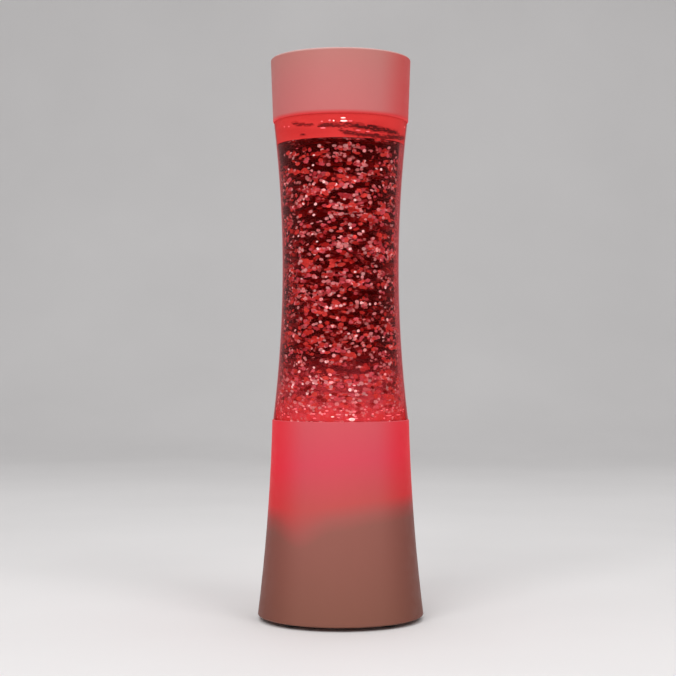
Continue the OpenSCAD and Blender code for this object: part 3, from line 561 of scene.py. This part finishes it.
def wall_gleam():
    """Painted light in a strip down the wall's right side, between two angles, from the film to the foot."""
    first, last, columns = 60, 104, 22
    finish = side_gleam("wall_light", srgb(194, 84, 88), srgb(176, 56, 62), thickest=0.56)
    vertices, faces = [], []
    heights = steps_up(SEAM_Z + 8 * MM, FILM_FOOT_Z, step=4 * MM)
    angles = [first + (last - first) * k / columns for k in range(columns + 1)]
    for z in heights:
        vertices += [on_film(angle, z, GLEAM_LAYER) for angle in angles]
    for i in range(len(heights) - 1):
        for k in range(columns):
            a = i * (columns + 1) + k
            faces.append((a, a + 1, a + columns + 2, a + columns + 1))
    piece("wall_gleam", vertices, faces, finish, smooth=True)


# Dark streaks on the film: (angle from the front in degrees, mm under the cap) along each,
# then half its width in mm and how many blotches lie on each degree of it
STREAKS = [
    ([(-47, 4.3), (-35, 5.6), (-24, 6.8)], 1.0, 0.8),
    ([(-20, 7.1), (-10, 6.9), (-4, 6.8), (2, 9.2)], 1.0, 1.0),
    ([(-5, 6.4), (8, 6.9), (14, 7.4), (23, 8.1), (35, 8.3), (49, 8.7), (64, 9.0)], 1.2, 1.2),
    ([(-2, 8.9), (3, 11.1), (13, 12.3), (26, 12.2), (35, 13.0), (44, 12.8)], 1.1, 1.4),
    ([(34, 13.6), (46, 12.4), (58, 11.6), (84, 10.0)], 1.1, 1.4),
    ([(-36.0, 11.5), (-34.4, 11.5)], 1.0, 2.0),
]
STREAK_TURNS = [0, 175]
# Blotches of a streak: size at its ends, growth inwards and stray over its half width; corners and reach
STREAK_END_SIZE, STREAK_GROWTH, STREAK_STRAY = 0.35, 4, 0.5
BLOTCH_SIDES, BLOTCH_REACH = 9, (0.7, 1.2)
# Kinds of blotch: layers out from the film, half width in mm, and half height over the streak's
SHADES = (0.5, (1.2, 3.0), (0.5, 1.0))
CORES = (1.0, (0.6, 2.3), (0.2, 0.55))

# Bright spots, painted glints: angle, mm under the cap or over the base, half width and half height in mm
CAP_GLINTS = [
    (2.0, 2.9, 1.5, 0.4), (2.6, 4.6, 2.1, 0.5), (-6.0, 4.5, 0.5, 0.4), (170.0, 3.4, 1.7, 0.5),
]
BASE_GLINTS = [
    (9.5, 1.5, 1.9, 0.9), (-7.0, 3.0, 1.0, 0.4), (128.0, 2.0, 1.6, 0.7), (-117.0, 2.4, 2.0, 0.6),
]
PINK_CAP_GLINTS = [
    (-9.4, 4.3, 0.7, 0.5), (-16.2, 4.7, 0.6, 0.3), (8.2, 4.6, 1.2, 0.35), (-15.4, 8.5, 1.6, 0.4),
    (-58.0, 5.4, 0.6, 0.4), (-51.1, 5.8, 0.5, 0.4), (15.0, 9.8, 1.5, 0.3), (24.0, 10.3, 1.1, 0.3),
    (76.0, 4.0, 1.2, 0.4),
]
PINK_BASE_GLINTS = [
    (46.0, 3.3, 2.6, 0.3), (61.0, 3.4, 2.8, 0.3), (-24.0, 4.6, 1.4, 0.4), (-52.0, 2.4, 1.6, 0.4),
    (160.0, 3.3, 2.6, 0.3), (-150.0, 3.0, 2.2, 0.4),
]
# Flakes stuck over the base, with the same four values, each from least to greatest
STUCK_COUNT = 70
STUCK_SPANS = [(0, 360), (0.9, 9.0), (0.4, 1.1), (0.3, 0.55)]
GLINT_SIDES = 14


def along_line(points, angle):
    """Drop under the cap at an angle on a line of (angle, drop) points."""
    for (a0, d0), (a1, d1) in zip(points, points[1:]):
        if angle <= a1:
            break
    return d0 + (d1 - d0) * (angle - a0) / (a1 - a0)


def oval(angle, z, half_wide, half_high, layer, reaches):
    """Flat oval on the wall; each corner goes out by its reach, 1 being a true oval's."""
    corners = []
    for k, reach in enumerate(reaches):
        turn = 2 * math.pi * k / len(reaches)
        across = math.degrees(reach * half_wide * MM * math.cos(turn) / film_radius(z))
        corners.append(on_film(angle + across, z + reach * half_high * MM * math.sin(turn), layer))
    return corners, [tuple(range(len(reaches)))]


def streak(rng, points, half, crowd, turn, kind):
    """Chain of blotches of a kind along a line, smaller towards both ends."""
    layer, widths, heights = kind
    first, last = points[0][0], points[-1][0]
    count = max(2, round((last - first) * crowd))
    blotches = []
    for i in range(count):
        share = (i + rng.random()) / count
        angle = first + (last - first) * share
        size = min(1.0, STREAK_END_SIZE + STREAK_GROWTH * min(share, 1 - share))
        z = CAP_Z - (along_line(points, angle) + rng.gauss(0, STREAK_STRAY * half)) * MM
        half_wide = size * rng.uniform(*widths)
        half_high = size * half * rng.uniform(*heights)
        reaches = [rng.uniform(*BLOTCH_REACH) for _ in range(BLOTCH_SIDES)]
        blotches.append(oval(angle + turn, z, half_wide, half_high, layer, reaches))
    return blotches


def streaks(rng, name, kind, finish):
    """All streaks on the film, made of one kind of blotch."""
    blotches = [spot for turn in STREAK_TURNS for line in STREAKS for spot in streak(rng, *line, turn, kind)]
    piece(name, *joined(blotches), finish)


def bright_spots(name, under_cap, over_base, finish):
    """Spots near the cap and near the base as one piece: painted glints, and flakes stuck on the wall where
    these are given.
    """
    places = [(angle, CAP_Z - drop * MM, *halves) for angle, drop, *halves in under_cap]
    places += [(angle, SEAM_Z + rise * MM, *halves) for angle, rise, *halves in over_base]
    spots = [oval(*place, GLINT_LAYER, reaches=[1.0] * GLINT_SIDES) for place in places]
    piece(name, *joined(spots), finish)


def wall_film(rng):
    """Red film over the liquid, dark streaks on it, and painted glints and stuck flakes at both ends of the
    wall.
    """
    heights = steps_up(FILM_FOOT_Z, FILM_TOP_Z, step=2 * MM)
    turned("wall_film", [(film_radius(z), z) for z in heights], RED_FILM)
    streaks(rng, "film_shades", SHADES, SHADE_FILM)
    streaks(rng, "film_streaks", CORES, DARK_FILM)
    bright_spots("film_glints", CAP_GLINTS, BASE_GLINTS, GLINT)
    stuck = [[rng.uniform(*span) for span in STUCK_SPANS] for _ in range(STUCK_COUNT)]
    bright_spots("pink_glints", PINK_CAP_GLINTS, PINK_BASE_GLINTS + stuck, PINK_GLINT)


# Glitter

def island_centres(name, weld=0.001 * MM, digits=5):
    """Middle of each separate solid of a node, from the lowest up."""
    graph = bmesh.new()
    graph.from_mesh(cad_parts[name].data)
    bmesh.ops.remove_doubles(graph, verts=graph.verts, dist=weld)
    centres, seen = [], set()
    for start in graph.verts:
        if start in seen:
            continue
        seen.add(start)
        island, queue = [], [start]
        while queue:
            vertex = queue.pop()
            island.append(vertex.co)
            for edge in vertex.link_edges:
                other = edge.other_vert(vertex)
                if other not in seen:
                    seen.add(other)
                    queue.append(other)
        centres.append(sum(island, Vector()) / len(island))
    graph.free()
    return sorted(centres, key=lambda at: tuple(round(value, digits) for value in (at.z, at.x, at.y)))


# Corners of a flake, and how far it slants and leans in radians
FLAKE_SIDES, FLAKE_SLANT, FLAKE_LEAN = 6, 0.35, 0.6


def flake(rng, at, turn, size, stretch, lean):
    """Corners of a flake that faces out from the axis, drawn out along the swirl."""
    out = Vector((math.cos(turn), math.sin(turn), 0))
    side = Vector((-out.y, out.x, 0))
    up = (Vector((0, 0, 1)) * math.cos(lean) + out * math.sin(lean)).normalized()
    slant = rng.uniform(-FLAKE_SLANT, FLAKE_SLANT)
    along = side * math.cos(slant) + up * math.sin(slant)
    across = up * math.cos(slant) - side * math.sin(slant)
    first = rng.uniform(0, 2 * math.pi / FLAKE_SIDES)
    corners = []
    for k in range(FLAKE_SIDES):
        angle = first + 2 * math.pi * k / FLAKE_SIDES
        corners.append(at + along * (size * stretch * math.cos(angle)) + across * (size * math.sin(angle)))
    return corners


FlakeKind = collections.namedtuple(
    "FlakeKind", "name adrift settled colour shade glow least greatest stretch")
FLAKE_KINDS = [FlakeKind(*row) for row in (
    # name, share adrift, share settled, colour, shade, glow, least and greatest radius in mm, most stretch
    ("flakes_red", 0.27, 0.27, srgb(208, 82, 72), srgb(184, 64, 60), 0.77, 0.85, 1.55, 2.0),
    ("flakes_rose", 0.21, 0.25, srgb(206, 108, 120), srgb(188, 86, 98), 0.75, 0.85, 1.3, 1.8),
    ("flakes_pale", 0.22, 0.20, srgb(226, 184, 184), srgb(206, 154, 156), 0.77, 0.75, 1.2, 1.5),
    ("flakes_dusty", 0.14, 0.08, srgb(206, 182, 180), srgb(182, 148, 146), 0.75, 0.75, 1.15, 1.3),
    # flakes_white: white flakes that are partly painted glints off the glitter
    ("flakes_white", 0.07, 0.06, srgb(253, 248, 246), srgb(248, 238, 236), 1.0, 0.75, 1.05, 1.1),
    ("flakes_deep", 0.08, 0.20, srgb(150, 40, 38), srgb(114, 22, 26), 0.6, 0.9, 1.5, 1.9),
)]
ADRIFT = [kind.adrift for kind in FLAKE_KINDS]
SETTLED = [kind.settled for kind in FLAKE_KINDS]

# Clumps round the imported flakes: flakes in each, how far they stray, and the share of its main kind
CLUMP_LEAST, CLUMP_MOST = 3, 7
CLUMP_WIDE, CLUMP_HIGH, CLUMP_DEEP = 3.2 * MM, 0.8 * MM, 0.9 * MM
CLUMP_LIKE = 0.5
CLUMP_LOWEST = SEAM_Z - 4 * MM
# Share of the wall's radius inside which a clump is one flake, and the streams that crowd the other clumps
DEEP_SHARE = 0.55
STREAM_LONG, STREAM_HIGH, STREAM_CONTRAST = 16 * MM, 7 * MM, 2.0

# Lone flakes: how many, how deep and how high; a higher power crowds them to the wall or the floor
DRIFT_COUNT = 1800
DRIFT_DEPTH, DRIFT_POWER = 0.35, 2
SETTLED_COUNT = 1500
SETTLED_LOW, SETTLED_HIGH, SETTLED_POWER = SEAM_Z - 3 * MM, 30 * MM, 1.6
SETTLED_OUT = (0.86, 1.0)
# Room that every flake leaves to the wall, and clear liquid under the level
WALL_MARGIN = 1.8 * MM
CLEAR_LAYER = 3.6 * MM


def crowding(at):
    """How crowded the glitter is at a point, from 0 to 2, in streams that lie flat."""
    place = Vector((at.x / STREAM_LONG, at.y / STREAM_LONG, at.z / STREAM_HIGH))
    return min(max(1 + STREAM_CONTRAST * mathutils.noise.noise(place), 0), 2)


def clump_place(rng, centre):
    """Place of one more flake near a packed one, kept inside the liquid."""
    z = min(max(centre.z + rng.gauss(0, CLUMP_HIGH), CLUMP_LOWEST), LEVEL_Z - CLEAR_LAYER)
    r = min(abs(math.hypot(centre.x, centre.y) + rng.gauss(0, CLUMP_DEEP)), wall_radius(z) - WALL_MARGIN)
    turn = math.atan2(centre.y, centre.x) + rng.gauss(0, CLUMP_WIDE) / max(r, CLUMP_WIDE)
    return r, turn, z


def drift_place(rng):
    """Place of a lone flake, mostly near the wall."""
    z = rng.uniform(SEAM_Z, LEVEL_Z - CLEAR_LAYER)
    r = (wall_radius(z) - WALL_MARGIN) * (1 - DRIFT_DEPTH * rng.random() ** DRIFT_POWER)
    return r, rng.uniform(0, 2 * math.pi), z


def settled_place(rng):
    """Place of a flake that lies low near the wall."""
    z = SETTLED_LOW + SETTLED_HIGH * rng.random() ** SETTLED_POWER
    r = (wall_radius(z) - WALL_MARGIN) * rng.uniform(*SETTLED_OUT)
    return r, rng.uniform(0, 2 * math.pi), z


def pick_kind(rng, shares):
    """Kind of flake picked by its share."""
    return rng.choices(FLAKE_KINDS, shares)[0]


def add_flake(rng, shapes, place, kind):
    """One flake at a place, added to its kind's shapes."""
    r, turn, z = place
    at = Vector((r * math.cos(turn), r * math.sin(turn), z))
    size = rng.uniform(kind.least, kind.greatest) * MM
    corners = flake(rng, at, turn, size, rng.uniform(1.0, kind.stretch), rng.gauss(0, FLAKE_LEAN))
    shapes[kind.name].append((corners, [tuple(range(FLAKE_SIDES))]))


def add_clump(rng, shapes, centre):
    """Flakes strung out round a packed one, many of one kind; a lone one where the liquid hides them."""
    deep = math.hypot(centre.x, centre.y) < DEEP_SHARE * wall_radius(centre.z)
    main = pick_kind(rng, ADRIFT)
    for _ in range(1 if deep else round(rng.randint(CLUMP_LEAST, CLUMP_MOST) * crowding(centre))):
        kind = main if rng.random() < CLUMP_LIKE else pick_kind(rng, ADRIFT)
        add_flake(rng, shapes, clump_place(rng, centre), kind)


def glitter(rng):
    """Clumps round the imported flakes, lone flakes adrift and settled ones."""
    shapes = {kind.name: [] for kind in FLAKE_KINDS}
    for centre in island_centres("glitter_flakes"):
        add_clump(rng, shapes, centre)
    for _ in range(DRIFT_COUNT):
        add_flake(rng, shapes, drift_place(rng), pick_kind(rng, ADRIFT))
    for _ in range(SETTLED_COUNT):
        add_flake(rng, shapes, settled_place(rng), pick_kind(rng, SETTLED))
    for kind in FLAKE_KINDS:
        finish = sparkle(kind.name, kind.colour, kind.shade, strength=kind.glow)
        piece(kind.name, *joined(shapes[kind.name]), finish)


# Studio

# Lights: name, place and side in metres, and watts
LIGHTS = [
    ("key", (-0.55, -1.2, 1.25), 0.8, 13.5),
    ("fill", (0.8, -1.0, 1.3), 0.7, 8),
    ("top", (0, 0.3, 1.6), 1.2, 9),
]
LIGHT_AIM = (0, 0, 0.17)
WORLD_WHITE, WORLD_STRENGTH = (1.0, 1.0, 1.0, 1.0), 0.38


def area_light(name, at, aim, side, watts):
    """Square light that faces a point."""
    data = bpy.data.lights.new(name, "AREA")
    data.size = side
    data.energy = watts
    made = bpy.data.objects.new(name, data)
    made.location = at
    made.rotation_euler = (Vector(aim) - Vector(at)).to_track_quat("-Z", "Y").to_euler()
    bpy.context.scene.collection.objects.link(made)


def floor():
    """Pale floor that sweeps up behind the lamp."""
    finish, tree, shader = new_material("pale_floor", Roughness=0.7)
    tint = ramp(tree, noise(tree, scale=3.0), mottled(srgb(224, 222, 222), srgb(230, 228, 228)))
    tree.links.new(tint, shader.inputs["Base Color"])
    reach, back, wall, bend, steps = 3.0, 2.2, 3.0, 0.8, 16
    line = [(-reach, 0.0), (back - bend, 0.0)]
    for i in range(1, steps + 1):
        turn = i / steps * math.pi / 2
        line.append((back - bend + bend * math.sin(turn), bend * (1 - math.cos(turn))))
    line.append((back, wall))
    vertices = [(x, y, z) for y, z in line for x in (-reach, reach)]
    faces = [(2 * i, 2 * i + 1, 2 * i + 3, 2 * i + 2) for i in range(len(line) - 1)]
    mesh = bpy.data.meshes.new("floor")
    mesh.from_pydata(vertices, [], faces)
    mesh.materials.append(finish)
    mesh.polygons.foreach_set("use_smooth", [True] * len(mesh.polygons))
    made = bpy.data.objects.new("floor", mesh)
    bpy.context.scene.collection.objects.link(made)


def studio():
    """Floor, even white surroundings and three soft lights."""
    floor()
    world = bpy.data.worlds.new("studio")
    world.use_nodes = True
    background = world.node_tree.nodes["Background"]
    background.inputs["Color"].default_value = WORLD_WHITE
    background.inputs["Strength"].default_value = WORLD_STRENGTH
    bpy.context.scene.world = world
    for name, at, side, watts in LIGHTS:
        area_light(name, at, LIGHT_AIM, side, watts)


def camera():
    """Camera at the photo's angle."""
    data = bpy.data.cameras.new("camera")
    data.sensor_width = SENSOR_MM
    data.lens = FOCAL_PX * SENSOR_MM / PHOTO_PX
    made = bpy.data.objects.new("camera", data)
    made.location = CAMERA_AT
    made.rotation_euler = (math.radians(90 + CAMERA_PITCH), 0, 0)
    bpy.context.scene.collection.objects.link(made)
    bpy.context.scene.camera = made


FILM_SEED, GLITTER_SEED = 3, 7
dress_nodes()
liquid_body()
floor_glow()
foot_glow()
wall_gleam()
wall_film(random.Random(FILM_SEED))
glitter(random.Random(GLITTER_SEED))
studio()
camera()
bpy.context.scene.view_settings.view_transform = "Standard"
